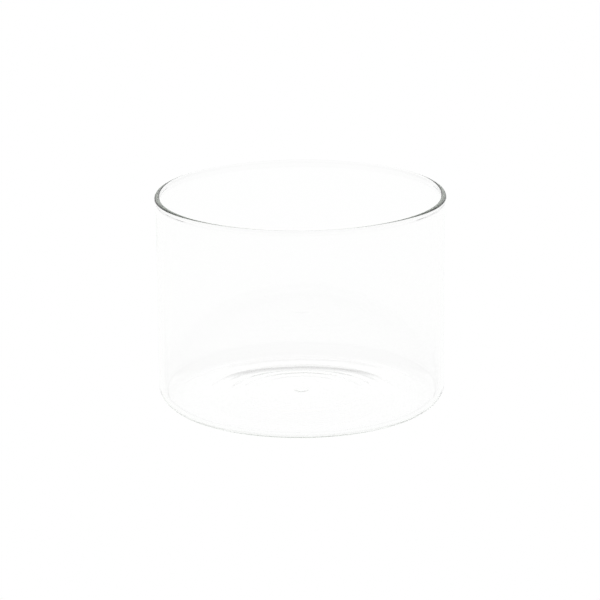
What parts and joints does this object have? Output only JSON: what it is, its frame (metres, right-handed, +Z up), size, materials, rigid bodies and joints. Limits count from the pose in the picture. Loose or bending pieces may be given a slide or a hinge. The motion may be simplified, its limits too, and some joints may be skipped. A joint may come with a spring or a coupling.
{
  "type": "crystallizing dish",
  "caption": "Straight-sided clear glass crystallizing dish with a flame-rounded rim, rounded heel and pushed-up floor, without a spout.",
  "frame": {"origin": "on the bench, in the middle of the ring that the dish stands on", "axes": "+Z up along the dish's axis, out of the mouth; +X to the right and +Y away from the viewer, both arbitrary on a turned shape"},
  "size_m": [0.069, 0.069, 0.0505],
  "materials": {
    "clear_borosilicate": "clear, fire-polished, colourless with a faint green-grey edge"
  },
  "bodies": {
    "root": {"rim_bead": "clear_borosilicate", "side_wall": "clear_borosilicate", "heel": "clear_borosilicate", "foot_ring": "clear_borosilicate", "raised_floor": "clear_borosilicate", "centre_pip": "clear_borosilicate"}
  },
  "joints": []
}
